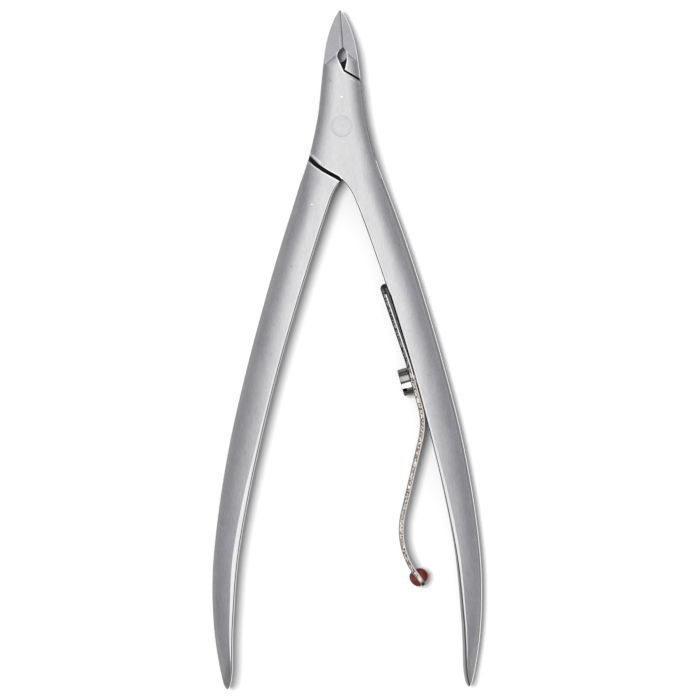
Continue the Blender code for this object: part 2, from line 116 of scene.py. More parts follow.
HANDLE_END = -91.15
END_ROUND = 1.1
CROTCH_Y = -8.56
POINT_Y = 18.96

# Cutting line between the blades: heel and point
HEEL = Vector((0.39, 12.85))
POINT = Vector((0.08, 19.0))
TIP_BACK_RISE = 2.4
TIP_BACK_START = 9.0

# Slit below the front plate: its own edge, and the shoulder it faces on the other half
LOWER_EDGE = ((-0.13, -8.56), (-0.45, -8.14), (-2.19, -7.17), (-3.74, -6.13), (-5.09, -4.85))
LOWER_SHOULDER = ((9.0, -2.2), (5.39, -5.59), (4.62, -6.32), (3.23, -7.33), (0.6, -8.81), (-0.5, -9.4))
# Slit above each plate: plate edge, outer end first, and the eye edge up to the heel
FRONT_PLATE_EDGE = ((3.06, 7.31), (0.43, 8.85), (-0.24, 10.37), (-0.63, 11.35), (-0.53, 11.95),
                    (-0.17, 12.45))
REAR_PLATE_EDGE = ((3.1, 8.3), (0.45, 10.2), (-0.1, 10.45), (-0.57, 10.77), (-0.95, 11.35), (-0.87, 12.16))
FRONT_SHOULDER = ((-9.0, 4.5), (-3.25, 8.58), (-0.6, 10.52), (0.5, 11.2))
REAR_SHOULDER = ((-9.0, 4.24), (-3.2, 7.64), (-0.63, 9.17), (0.5, 9.85))
EYE_EDGE = ((0.63, 9.17), (0.9, 10.3), (1.02, 11.34), (0.87, 12.16), (0.42, 12.85))
EYE_BACK = (-1.5, 8.3)
# How far the cutting bodies reach past the steel, and where the slits' cutting outlines run on outside it
CUT_REACH = 9.0
CUT_MARGIN = 1.0
CUT_HEIGHT = 5.0
LOWER_TRIM = ((-CUT_REACH, -1.15), (-CUT_REACH, -9.6))
UPPER_TRIM = (CUT_REACH, 4.2)
TRIM_TOP = 21.0

# Blade facets; the crease is where they leave the joint's flat face
FACET_SLOPE = 0.495
CREASE_ANGLE = math.radians(42)
CREASE_DROP = 0.22
CREASE_WEAR = 0.05
CREASE_WEAR_SLOPE = 0.1
CREASE_OVERLAP = 0.4
FACET_REACH = 8.0
SHOULDER_LEAD = 0.02
SHOULDER_LIFT = 0.01
BLADE_WEAR = 0.07
SHOULDER_RADIUS = 2.2
SHOULDER_ANGLE = math.radians(50)
BEVEL_WIDTH = 0.45
BEVEL_SLOPE = 0.4
BEVEL_PAST = 0.3
# Cuts along the cutting line start a little before its heel and run past its point, in shares of its length
EDGE_CUT_LEAD = 0.05
EDGE_CUT_RUN = 1.2
EDGE_LAND = 0.6
HOLLOW_ANGLE = math.radians(22)
HOLLOW_DEPTH = 6.0
HOLLOW_BACK = 1.5
HOLLOW_LEAD = 0.28
HOLLOW_RUN = 1.4
# The blades' meeting faces, picked out for their honed finish
HONED_FACING = 0.9
HONED_HALF_WIDTH = 0.6
HONED_BELOW_HEEL = 0.1

# Worn edges: a shallow flat along the slits and the handles' inner edges, toned bright as a painted highlight
EDGE_WEAR = 0.2
EDGE_WEAR_DROP = 0.015
EDGE_WEAR_REACH = 0.3
EDGE_WEAR_STEP = 0.4
# Outer ends of the worn flats along the front plate, the slit below it and the rear shoulder
FRONT_WEAR_END = (4.2, 6.65)
LOWER_WEAR_END = (-6.6, -3.6)
REAR_WEAR_END = (-4.4, 6.9)

# Rivet
RIVET_RADIUS = 1.5
RIVET_HEAD_RADIUS = 1.72
RIVET_HEAD_DEPTH = 0.5
RIVET_FIT = 0.01
RIVET_BREAK = 0.03
RIVET_LIP = 0.01
CENTRE_MARK = 0.15
CENTRE_MARK_DEPTH = 0.03

# Spring, screw and glide button; the spring's corners are (along, off the handle face, bend radius)
STRIP_THICK = 0.8
SEAT_OFF = 0.48
SPRING_CORNERS = ((-15.9, 0.46, 0.0), (-15.9, 1.17, 0.42), (-2.9, SEAT_OFF, 12.0), (7.2, SEAT_OFF, 11.0),
                  (25.3, 10.58, 11.7), (32.6, 7.75, 0.0))
STRIP_WIDTH = ((-16.0, 3.6), (-5.0, 3.8), (0.0, 4.4), (5.0, 4.1), (24.0, 3.4), (40.0, 3.2))
STRIP_LEFT = ((-16.0, 0.84), (-3.0, 0.9), (3.0, 1.0))
STRIP_ROLL = 0.14
STRIP_TORN = 0.05
STRIP_LINE = 0.21
STRIP_CORNER = 0.05
STRIP_CORNER_DROP = 0.01
# Material slots of the strip, and the slot of each step round its section that is not plain side
SIDE, EDGE, TORN, BRIGHT, SATIN_LINE, DARK_SIDE = range(6)
SECTION_SLOTS = {3: EDGE, 4: TORN, 5: SATIN_LINE}
END_RING = 1.55
ARM_START = 20.0
TAIL_FROM = -41.0
TAIL_FADE = 2.5
TAIL_START = -0.5
HOOK_END = -14.6
SCREW_RADIUS = 1.2
SCREW_LENGTH = 3.6
HEAD_LIFT = 0.03
HEAD_RADIUS = 2.2
HEAD_HEIGHT = 1.6
HEAD_CHAMFER = 0.2
CHAMFER_ROUND = 0.3
SLOT_WIDTH = 0.6
SLOT_DEPTH = 0.7
SLOT_TURN = math.radians(-34)
SCREW_FIT = 0.05
SCREW_POINT = 0.3
HEAD_BREAK = 0.06
HOLE_ROOM = 0.1
HOLE_POINT = 0.3
HOLE_MOUTH = 0.6
SLOT_PAST = 0.5
BUTTON_ALONG = 1.6
NECK_RADIUS = 0.65
GLIDE_RADIUS = 1.35
GLIDE_HEIGHT = 1.0
SNAP_RADIUS = 1.25
SNAP_HEIGHT = 1.15
BUTTON_FIT = 0.03

# Mesh density
SHARP_ANGLE = math.radians(30)
LEVELS = (1.0, 0.95, 0.75, 0.0, -0.01, -0.75, -0.95, -1.0)
BURR_LEVEL = 3
ROW_STEPS = 16
# A handle's rounded end: steps, angle between them, and share of the depth left at the very end
END_STEPS = 10
END_STEP_ANGLE = math.radians(8.8)
END_DEPTH = 0.3
# Sections along the tool, closer together at the crotch and at the point
HANDLE_STEPS = 110
HANDLE_STEPS_END = CROTCH_Y - 1.6
CROTCH_STATIONS = (-9.8, -9.4, -9.0)
JOINT_STEP = 0.5
JOINT_STEPS_END = 17.0
POINT_STATIONS = (17.35, 17.7, 18.0, 18.3, 18.55, 18.78)
STRIP_STEP = 0.5
BEND_STEP = math.radians(2.5)
# Degrees at the steps of the spring's round end, and its least distance from the path before it
RING_TURNS = range(0, 86, 9)
RING_ROOM = 0.05
ARC_STEPS = 12
ROUND_STEPS = 96
HOLE_STEPS = 48
NECK_STEPS = 40
BUTTON_STEPS = 64
SNAP_STEPS = 16
GLIDE_STEPS = 18
WELD = 0.000002


# ------------------------------ camera, light and table

VIEW_SPAN = 1.0326 * LENGTH
CAMERA_HEIGHT = 1200.0
SENSOR_WIDTH = 36.0
CLIP_NEAR_M = 0.01
CLIP_FAR_M = 5.0
CAMERA_ROLL = math.radians(-0.65)
AIM_OFFSET = Vector((0.9, -0.185))


def make_camera():
    """Straight above the middle of the tool, with the whole length in view."""
    data = bpy.data.cameras.new("camera")
    data.sensor_width = SENSOR_WIDTH
    data.lens = SENSOR_WIDTH * CAMERA_HEIGHT / VIEW_SPAN
    data.clip_start, data.clip_end = CLIP_NEAR_M, CLIP_FAR_M
    camera = bpy.data.objects.new("camera", data)
    bpy.context.scene.collection.objects.link(camera)
    middle = (cad_low + cad_high) / 2
    camera.location = middle + Vector((AIM_OFFSET.x, AIM_OFFSET.y, CAMERA_HEIGHT)) * MM
    camera.rotation_euler = (0.0, 0.0, CAMERA_ROLL)
    bpy.context.scene.camera = camera


# Sky seen by the steel: a bright cap overhead, grey sides, and a patch beyond the cutting points
SKY_CAP = (1.27, 1.27, 1.275)
SKY_SIDE = (0.41, 0.407, 0.436)
SKY_BEHIND = (0.31, 0.308, 0.322)
SKY_AHEAD = (0.36, 0.36, 0.37)
# Where one part of the sky fades into the next, along the tool and upwards
SIDE_FADE = (-0.5, 0.05)
AHEAD_FADE = (0.15, 0.6)
AHEAD_RISE = (0.2, 0.55)
CAP_AXIS = Vector((0.03, 0.0, 1.0)).normalized()
CAP_EDGE = 0.45
CAP_POWER = 2.2
SUN_STRENGTH = 3.9
SUN_TILT = math.radians(13)
SUN_TURN = math.radians(164)
SUN_SPREAD = math.radians(19)
TABLE_SEEN = 0.6
TABLE_REFLECTED = 0.25
TABLE_HALF_M = 4.0
TABLE_DROP_M = 0.00002


class Nodes:
    """Adds nodes to a node tree and wires them."""

    def __init__(self, tree):
        self.tree = tree

    def node(self, kind, **inputs):
        made = self.tree.nodes.new(kind)
        for key, value in inputs.items():
            self.give(made.inputs[key.replace("_", " ")], value)
        return made

    def give(self, socket, value):
        if isinstance(value, bpy.types.NodeSocket):
            self.tree.links.new(value, socket)
        else:
            socket.default_value = value

    def math(self, operation, a, b):
        made = self.tree.nodes.new("ShaderNodeMath")
        made.operation = operation
        self.give(made.inputs[0], a)
        self.give(made.inputs[1], b)
        return made.outputs[0]

    def ramp(self, value, low, high, to_low=0.0, to_high=1.0, smooth=False):
        made = self.node("ShaderNodeMapRange", Value=value, From_Min=low, From_Max=high, To_Min=to_low,
                         To_Max=to_high)
        made.interpolation_type = "SMOOTHSTEP" if smooth else "LINEAR"
        return made.outputs["Result"]

    def mix(self, factor, a, b, blend="MIX"):
        made = self.tree.nodes.new("ShaderNodeMix")
        made.data_type = "RGBA"
        made.blend_type = blend
        for key, value in (("Factor", factor), ("A", a), ("B", b)):
            self.give(made.inputs[key], (*value, 1.0) if isinstance(value, tuple) else value)
        return made.outputs["Result"]


def make_sky():
    world = bpy.data.worlds.new("sky")
    bpy.context.scene.world = world
    world.use_nodes = True
    n = Nodes(world.node_tree)
    way = n.node("ShaderNodeTexCoord").outputs["Generated"]
    split = n.node("ShaderNodeSeparateXYZ", Vector=way)
    up = n.tree.nodes.new("ShaderNodeVectorMath")
    up.operation = "DOT_PRODUCT"
    n.give(up.inputs[0], way)
    n.give(up.inputs[1], CAP_AXIS)
    cap = n.math("POWER", n.ramp(up.outputs["Value"], CAP_EDGE, 1.0), CAP_POWER)
    side = n.mix(n.ramp(split.outputs["Y"], *SIDE_FADE, smooth=True), SKY_BEHIND, SKY_SIDE)
    ahead = n.math("MULTIPLY", n.ramp(split.outputs["Y"], *AHEAD_FADE, smooth=True),
                   n.ramp(split.outputs["Z"], *AHEAD_RISE, smooth=True))
    sky = n.mix(cap, n.mix(ahead, side, SKY_AHEAD, "ADD"), SKY_CAP)
    n.give(n.tree.nodes["Background"].inputs["Color"], sky)


def make_sun():
    """Broad light a little to the left, which only the table and the plastic show."""
    data = bpy.data.lights.new("sun", "SUN")
    data.energy = SUN_STRENGTH
    data.angle = SUN_SPREAD
    sun = bpy.data.objects.new("sun", data)
    bpy.context.scene.collection.objects.link(sun)
    towards = Vector((math.sin(SUN_TILT) * math.cos(SUN_TURN), math.sin(SUN_TILT) * math.sin(SUN_TURN),
                      math.cos(SUN_TILT)))
    sun.rotation_mode = "QUATERNION"
    sun.rotation_quaternion = towards.to_track_quat("Z", "Y")
    sun.visible_glossy = False


def make_table():
    """White table top, darker in reflections so that the steel keeps its grey sides."""
    bm = bmesh.new()
    bm.faces.new([bm.verts.new((x * TABLE_HALF_M, y * TABLE_HALF_M, -TABLE_DROP_M))
                  for x, y in ((-1, -1), (1, -1), (1, 1), (-1, 1))])
    mesh = bpy.data.meshes.new("table")
    bm.to_mesh(mesh)
    bm.free()
    table = bpy.data.objects.new("table", mesh)
    bpy.context.scene.collection.objects.link(table)
    material = bpy.data.materials.new("table_white")
    material.use_nodes = True
    n = Nodes(material.node_tree)
    shader = n.tree.nodes["Principled BSDF"]
    shader.inputs["Roughness"].default_value = 0.9
    shader.inputs["Specular IOR Level"].default_value = 0.0
    seen = n.node("ShaderNodeLightPath").outputs["Is Camera Ray"]
    n.give(shader.inputs["Base Color"], n.mix(seen, (TABLE_REFLECTED,) * 3, (TABLE_SEEN,) * 3))
    mesh.materials.append(material)


# ------------------------------ curves and meshes

def curve(table, y):
    """Smooth value of a table of (position, value) pairs."""
    if y <= table[0][0]:
        return table[0][1]
    if y >= table[-1][0]:
        return table[-1][1]
    i = max(k for k in range(len(table) - 1) if table[k][0] <= y)

    def slope(k):
        a, b = table[max(k - 1, 0)], table[min(k + 1, len(table) - 1)]
        return (b[1] - a[1]) / (b[0] - a[0])

    (y0, v0), (y1, v1) = table[i], table[i + 1]
    d = y1 - y0
    t = (y - y0) / d
    return ((2 * t**3 - 3 * t**2 + 1) * v0 + (t**3 - 2 * t**2 + t) * d * slope(i)
            + (3 * t**2 - 2 * t**3) * v1 + (t**3 - t**2) * d * slope(i + 1))


def refined(line, gap):
    """The line with extra points so that no step is longer than gap."""
    points = [Vector(p) for p in line]
    out = [points[0]]
    for a, b in zip(points, points[1:]):
        steps = max(1, math.ceil((b - a).length / gap))
        out += [a.lerp(b, k / steps) for k in range(1, steps + 1)]
    return out


def make_object(name, bm, material=None):
    mesh = bpy.data.meshes.new(name)
    bmesh.ops.recalc_face_normals(bm, faces=bm.faces)
    bm.to_mesh(mesh)
    bm.free()
    if material:
        mesh.materials.append(material)
    obj = bpy.data.objects.new(name, mesh)
    bpy.context.scene.collection.objects.link(obj)
    return obj


def loft(name, rings, material=None):
    """Closed body through rings of points, all with the same number of points."""
    bm = bmesh.new()
    rows = [[bm.verts.new(Vector(p) * MM) for p in ring] for ring in rings]
    count = len(rows[0])
    for low, high in zip(rows, rows[1:]):
        for i in range(count):
            j = (i + 1) % count
            bm.faces.new((low[i], low[j], high[j], high[i]))
    bm.faces.new(rows[0][::-1])
    bm.faces.new(rows[-1])
    return make_object(name, bm, material)


def prism(outline, base, along, across, up, material):
    """Prism of a flat outline given in (across, up), pushed from base by the vector along."""
    base, along, across, up = (Vector(v) for v in (base, along, across, up))
    near = [base + across * a + up * b for a, b in outline]
    return loft("cutter", (near, [p + along for p in near]), material)


def turned(name, profile, steps, place, material=None):
    """Body of revolution: profile of (radius, height), closed on its axis at both ends."""
    bm = bmesh.new()
    rings = []
    for radius, height in profile:
        if radius == 0:
            rings.append([bm.verts.new(place @ Vector((0, 0, height)) * MM)])
        else:
            angles = [2 * math.pi * k / steps for k in range(steps)]
            spots = [Vector((radius * math.cos(a), radius * math.sin(a), height)) for a in angles]
            rings.append([bm.verts.new(place @ p * MM) for p in spots])
    for low, high in zip(rings, rings[1:]):
        for i in range(steps):
            j = (i + 1) % steps
            if len(low) == 1:
                bm.faces.new((low[0], high[j], high[i]))
            elif len(high) == 1:
                bm.faces.new((low[i], low[j], high[0]))
            else:
                bm.faces.new((low[i], low[j], high[j], high[i]))
    return make_object(name, bm, material)


def combine(obj, tool):
    """Cut the tool body out of the object; the new faces keep the tool's material."""
    mod = obj.modifiers.new("cut", "BOOLEAN")
    mod.operation, mod.solver, mod.object, mod.material_mode = "DIFFERENCE", "EXACT", tool, "TRANSFER"
    graph = bpy.context.evaluated_depsgraph_get()
    mesh = bpy.data.meshes.new_from_object(obj.evaluated_get(graph))
    obj.modifiers.clear()
    obj.data = mesh
    bpy.data.objects.remove(tool)
    bm = bmesh.new()
    bm.from_mesh(mesh)
    bmesh.ops.remove_doubles(bm, verts=bm.verts, dist=WELD)
    bmesh.ops.dissolve_degenerate(bm, edges=bm.edges, dist=WELD)
    bm.to_mesh(mesh)
    bm.free()


def shade(obj):
    """Smooth faces, with hard edges at corners and between two finishes."""
    bm = bmesh.new()
    bm.from_mesh(obj.data)
    for face in bm.faces:
        face.smooth = True
    for edge in bm.edges:
        if len(edge.link_faces) == 2:
            a, b = edge.link_faces
            flat = a.normal.angle(b.normal, 0.0) < SHARP_ANGLE
            edge.smooth = flat and a.material_index == b.material_index
    bm.to_mesh(obj.data)
    bm.free()


def put(obj, node):
    """Stand for a CAD node: ride on its body and hide the node."""
    body = next(b for b, members in frame["record"]["behaviour"]["bodies"].items() if node in members)
    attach(obj, body)
    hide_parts(node)


# ------------------------------ materials

class Finish(Nodes):
    """A material's nodes, with textures placed by the position on the object."""

    def __init__(self, name, roughness, metallic):
        self.material = bpy.data.materials.new(name)
        self.material.use_nodes = True
        super().__init__(self.material.node_tree)
        self.main = self.tree.nodes["Principled BSDF"]
        self.main.inputs["Roughness"].default_value = roughness
        self.main.inputs["Metallic"].default_value = metallic
        self.where = self.tree.nodes.new("ShaderNodeTexCoord").outputs["Object"]

    def place(self, scale, turn=0.0):
        """Position turned about Z and stretched: features are 1 / scale metres long."""
        turned_place = self.node("ShaderNodeMapping", Vector=self.where, Rotation=(0, 0, turn))
        made = self.node("ShaderNodeMapping", Vector=turned_place.outputs["Vector"], Scale=scale)
        return made.outputs["Vector"]

    def noise(self, scale, detail=2.0, turn=0.0):
        made = self.node("ShaderNodeTexNoise", Vector=self.place(scale, turn), Scale=1.0, Detail=detail)
        return made.outputs["Fac"]

    def bump(self, height, distance, strength=1.0):
        made = self.node("ShaderNodeBump", Height=height, Distance=distance, Strength=strength)
        self.give(self.main.inputs["Normal"], made.outputs["Normal"])

    def mark(self, centre, turn, reach):
        """1 inside a small ellipse at a spot on the object, fading to 0 at its rim; lengths are mm."""
        spot = self.node("ShaderNodeMapping", Vector=self.where, Rotation=(0, 0, math.radians(turn)),
                         Location=(centre[0] * MM, centre[1] * MM, 0),
                         Scale=(reach[0] * MM, reach[1] * MM, 1.0))
        spot.vector_type = "TEXTURE"
        length = self.tree.nodes.new("ShaderNodeVectorMath")
        length.operation = "LENGTH"
        self.give(length.inputs[0], spot.outputs["Vector"])
        return self.ramp(length.outputs["Value"], 1.0, MARK_CORE)

    def colour(self, value):
        self.give(self.main.inputs["Base Color"], value)

    def roughness(self, value):
        self.give(self.main.inputs["Roughness"], value)


# Texture scales in features per metre, bump heights in metres, and the share of a mark at full tone
FINE_GRAIN = (14000, 900, 6000)
CLOUDING = (600, 130, 300)
PIT_CELLS = (700, 520, 700)
PIT_PATCHES = (260, 90, 260)
HEAD_STREAKS = (3000, 3000, 9000)
TORN_GRAIN = (5200, 3800, 4000)
TORN_SPECKS = (4200, 3000, 3600)
TINT_PATCHES = (1500, 900, 1500)
PLASTIC_CLOUDS = (900, 900, 900)
PLASTIC_GRAIN = (6000, 6000, 6000)
GRAIN_BUMP_M = 0.000004
TORN_BUMP_M = 0.00003
PLASTIC_BUMP_M = 0.000006
MARK_CORE = 0.35

# Small marks on the satin steel: place, turn in degrees, half length and half width, tone; the bright mark at
# (0.02, 4.75) is a painted glint and the two long marks at the handle ends are painted shade
MARKS = (((-1.95, 7.8), -55, (0.32, 0.08), 0.55), ((-1.75, 7.35), -52, (0.42, 0.09), 0.5),
         ((-2.05, 6.2), -60, (0.35, 0.06), 0.7), ((0.02, 4.75), 0, (0.26, 0.16), 1.6),
         ((3.35, -3.9), -35, (0.4, 0.06), 0.75), ((3.75, -4.3), -30, (0.4, 0.06), 0.72),
         ((-5.0, -12.6), -12, (0.35, 0.16), 1.5), ((10.75, -31.3), 15, (0.55, 0.05), 0.7),
         ((10.7, -33.3), 12, (0.5, 0.05), 0.72), ((11.2, -35.9), 18, (0.3, 0.05), 0.75),
         ((13.6, -40.5), 0, (0.16, 0.12), 0.6), ((-19.6, -90.0), 78, (5.0, 1.1), 0.68),
         ((19.5, -90.0), 102, (5.0, 1.1), 0.75))


def steel(name, tone, roughness, grain_turn=0.0, grain=0.06, pits=True):
    """Ground stainless steel: fine grain along one direction, soft clouding, small pits and marks, among them
    a painted glint and painted shade.
    """
    s = Finish(name, roughness, 1.0)
    fine = s.noise(FINE_GRAIN, 3.0, grain_turn)
    broad = s.noise(CLOUDING, 2.0, grain_turn)
    mixed = s.math("ADD", s.ramp(fine, 0.3, 0.7, -grain, grain), s.ramp(broad, 0.3, 0.7, -0.035, 0.035))
    dark = tuple(0.82 * c for c in tone)
    light = tuple(min(1.0, 1.16 * c) for c in tone)
    colour = s.mix(s.ramp(mixed, -0.1, 0.1), dark, light)
    if pits:
        spots = s.node("ShaderNodeTexVoronoi", Vector=s.place(PIT_CELLS), Scale=1.0)
        rare = s.noise(PIT_PATCHES, 1.0)
        pit = s.math("MULTIPLY", s.ramp(spots.outputs["Distance"], 0.09, 0.03), s.ramp(rare, 0.5, 0.6))
        colour = s.mix(pit, colour, tuple(0.6 * c for c in tone))
        for centre, turn, reach, share in MARKS:
            colour = s.mix(s.mark(centre, turn, reach), colour, tuple(share * c for c in tone))
    s.colour(colour)
    s.roughness(s.ramp(s.math("ADD", fine, broad), 0.6, 1.4, roughness - 0.05, roughness + 0.05))
    s.bump(fine, GRAIN_BUMP_M)
    return s.material


# Inner wall of a handle, toned dark as painted shade: its tones, and the heights over which they change
WALL_TONE = 0.14
WALL_SHADE = 0.03
FOOT_TONE = 0.76
SHADE_STARTS = (-16.0, -22.0)
SHADE_ENDS = (-43.0, -50.0)
FOOT_STARTS = (-57.0, -64.0)


def wall_steel(name, shade_tone, foot_tone):
    """Inner wall of a handle, darkened with painted shade, its tone changing softly along the handle."""
    s = Finish(name, 0.4, 1.0)
    fine = s.noise(FINE_GRAIN, 3.0)
    height = s.node("ShaderNodeSeparateXYZ", Vector=s.where).outputs["Y"]
    colour = (WALL_TONE,) * 3
    for (start, end), tone in ((SHADE_STARTS, shade_tone), (SHADE_ENDS, WALL_TONE), (FOOT_STARTS, foot_tone)):
        colour = s.mix(s.ramp(height, start * MM, end * MM), colour, (tone,) * 3)
    s.colour(s.mix(s.ramp(fine, 0.3, 0.7, 0.0, 0.12), colour, (0.0, 0.0, 0.0)))
    s.bump(fine, GRAIN_BUMP_M)
    return s.material


def make_materials():
    made = {
        "satin": steel("satin_steel", (0.62, 0.62, 0.625), 0.27),
        "ground": steel("ground_facet", (0.6, 0.6, 0.62), 0.34, math.radians(90), 0.05, False),
        "honed": steel("honed_edge", (0.58, 0.58, 0.6), 0.3, math.radians(90), 0.05, False),
        "worn": steel("worn_edge_painted_highlight", (0.76, 0.76, 0.765), 0.3, 0.0, 0.03, False),
        "bright": steel("rubbed_edge_painted_highlight", (0.95, 0.95, 0.955), 0.3, 0.0, 0.02, False),
        # The lap tone is painted shade: near black, so that the slits, the eye, the gaps and the holes show
        # dark
        "lap": steel("lap_painted_shade", (0.03, 0.03, 0.031), 0.45, 0.0, 0.02, False),
        "rivet": steel("rivet_steel", (0.61, 0.61, 0.615), 0.27, math.radians(30)),
        # The side tone also serves as painted shade on the outer rows of the spring side's handle
        "side": steel("spring_side", (0.42, 0.42, 0.43), 0.3, 0.0, 0.04, False),
        # The screw's slot is toned near black as painted shade
        "slot": steel("slot_painted_shade", (0.04, 0.04, 0.04), 0.4, 0.0, 0.04, False),
    }
    made["wall"] = wall_steel("inner_wall_painted_shade", WALL_TONE, WALL_TONE)
    made["spring_wall"] = wall_steel("spring_side_wall_painted_shade", WALL_SHADE, WALL_TONE)
    made["foot_wall"] = wall_steel("foot_wall_painted_shade", WALL_SHADE, FOOT_TONE)
    made["head"] = banded_head()
    made["edge"] = strip_edge("strip_edge", (1.0, 0.84, 0.7), (0.44, 0.37, 0.31), (0.035, 0.028, 0.024),
                              0.495)
    made["torn"] = strip_edge("strip_fracture", (0.56, 0.48, 0.4), (0.3, 0.26, 0.23), (0.02, 0.018, 0.016),
                              0.48)
    made["red"] = red_plastic()
    return made


# Painted reflections: bright and dark bands along the turned screw head, with their place across it from -1
# to 1, and tone
HEAD_REFLECTION_BANDS = ((0.02, 0.12), (0.12, 0.22), (0.2, 0.3), (0.27, 1.0), (0.43, 1.0), (0.48, 0.03), (0.52, 0.04),
              (0.57, 0.6), (0.7, 0.62), (0.76, 0.02), (0.82, 0.3), (0.98, 0.4))
# One band across the head is dulled: each ramp's start and end
DULL_FROM = (-0.5, -0.4)
DULL_TO = (-0.1, -0.2)


def banded_head():
    """Turned and polished screw head with painted reflections in bands, streaked along its axis."""
    s = Finish("screw_steel_painted_reflections", 0.14, 1.0)
    place = screw_place()
    up_handle = -(place.to_3x3() @ ACROSS)
    turn = math.atan2(up_handle.y, up_handle.x)
    across = s.node("ShaderNodeMapping", Vector=s.where, Location=place.translation * MM,
                    Rotation=(0, 0, turn), Scale=(HEAD_RADIUS * MM, MM, MM))
    across.vector_type = "TEXTURE"
    split = s.node("ShaderNodeSeparateXYZ", Vector=across.outputs["Vector"])
    ramp = s.node("ShaderNodeValToRGB", Fac=s.ramp(split.outputs["X"], -1.0, 1.0))
    stops = ramp.color_ramp.elements
    for k, (spot, tone) in enumerate(HEAD_REFLECTION_BANDS):
        stop = stops[k] if k < 2 else stops.new(spot)
        stop.position = spot
        stop.color = (tone, tone, 0.99 * tone, 1.0)
    rubbed = s.math("MULTIPLY", s.ramp(split.outputs["X"], *DULL_FROM), s.ramp(split.outputs["X"], *DULL_TO))
    s.give(s.main.inputs["Metallic"], s.ramp(rubbed, 0.0, 1.0, 1.0, 0.1))
    streaks = s.noise(HEAD_STREAKS, 2.0)
    s.colour(s.mix(s.ramp(streaks, 0.4, 0.7, 0.0, 0.2), ramp.outputs["Color"], (0.3, 0.3, 0.3)))
    s.bump(streaks, GRAIN_BUMP_M)
    return s.material


# Marks on the strip, as for the steel: a white patch and the dark end by the button, and the dark hook
TIP_MARKS = (((12.0, -73.8), -55, (0.7, 0.5), 0.95), ((12.62, -74.5), -55, (0.85, 0.9), 0.03),
             ((6.6, -26.0), -30, (1.4, 0.9), 0.02))


def strip_edge(name, light, middle, dark, share):
    """Blanked edge of the spring strip, straw and copper coloured, turned a dark mottled grey towards the
    hooked tail as painted shade.
    """
    s = Finish(name, 0.42, 0.85)
    torn = s.noise(TORN_GRAIN, 3.0)
    specks = s.node("ShaderNodeTexVoronoi", Vector=s.place(TORN_SPECKS), Scale=1.0)
    tint = s.noise(TINT_PATCHES, 1.0)
    base = s.mix(s.ramp(tint, 0.35, 0.65), light, middle)
    base = s.mix(s.ramp(torn, share, share + 0.05), base, dark)
    base = s.mix(s.ramp(specks.outputs["Distance"], 0.3, 0.2), base, (1.0, 0.94, 0.85))
    # Painted shade: a dark mottled grey over the tail
    grey = s.mix(s.ramp(torn, 0.46, 0.54), (0.3, 0.3, 0.3), (0.03, 0.03, 0.03))
    split = s.node("ShaderNodeSeparateXYZ", Vector=s.where)
    base = s.mix(s.ramp(split.outputs["Y"], TAIL_FROM * MM, (TAIL_FROM + TAIL_FADE) * MM), base, grey)
    for centre, turn, reach, tone in TIP_MARKS:
        base = s.mix(s.mark(centre, turn, reach), base, (tone, tone, tone))
    s.colour(base)
    s.bump(torn, TORN_BUMP_M)
    return s.material


def red_plastic():
    """Brick red moulded plastic with a slightly dusty, uneven gloss."""
    s = Finish("red_plastic", 0.34, 0.0)
    s.main.inputs["Specular IOR Level"].default_value = 0.25
    cloud = s.noise(PLASTIC_CLOUDS, 2.0)
    fine = s.noise(PLASTIC_GRAIN, 2.0)
    s.colour(s.mix(s.ramp(cloud, 0.35, 0.65), (0.085, 0.01, 0.004), (0.14, 0.022, 0.01)))
    s.roughness(s.ramp(fine, 0.35, 0.65, 0.28, 0.42))
    s.bump(fine, PLASTIC_BUMP_M)
    return s.material


# ------------------------------ the two halves

def stations():
    """Heights of the sections of one half, each with the share of full width and depth there."""
    first = HANDLE_END + END_ROUND
    turns = [END_STEP_ANGLE * k for k in range(END_STEPS, 0, -1)]
    rows = []
    for t in turns:
        share = math.cos(t)
        rows.append((HANDLE_END + END_ROUND * (1 - math.sin(t)), share, END_DEPTH + (1 - END_DEPTH) * share))
    reach = HANDLE_STEPS_END - first
    heights = [first + reach * k / HANDLE_STEPS for k in range(HANDLE_STEPS + 1)]
    heights += [*CROTCH_STATIONS, CROTCH_Y]
    reach = JOINT_STEPS_END - CROTCH_Y
    steps = round(reach / JOINT_STEP)
    heights += [CROTCH_Y + reach * k / steps for k in range(1, steps + 1)]
    heights += [*POINT_STATIONS, POINT_Y]
    return rows + [(y, 1.0, 1.0) for y in heights]


def crown(y, share):
    """Share of the half thickness left at a share of the width, 0 at the crest and 1 at the side."""
    flat = curve(FLAT_SHARE, y)
    part = max(0.0, (abs(share) - flat) / (1 - flat)) * ROUND_LIMIT
    return 1 - curve(SIDE_DROP, y) * (1 - math.sqrt(1 - part ** curve(ROUNDING, y)))


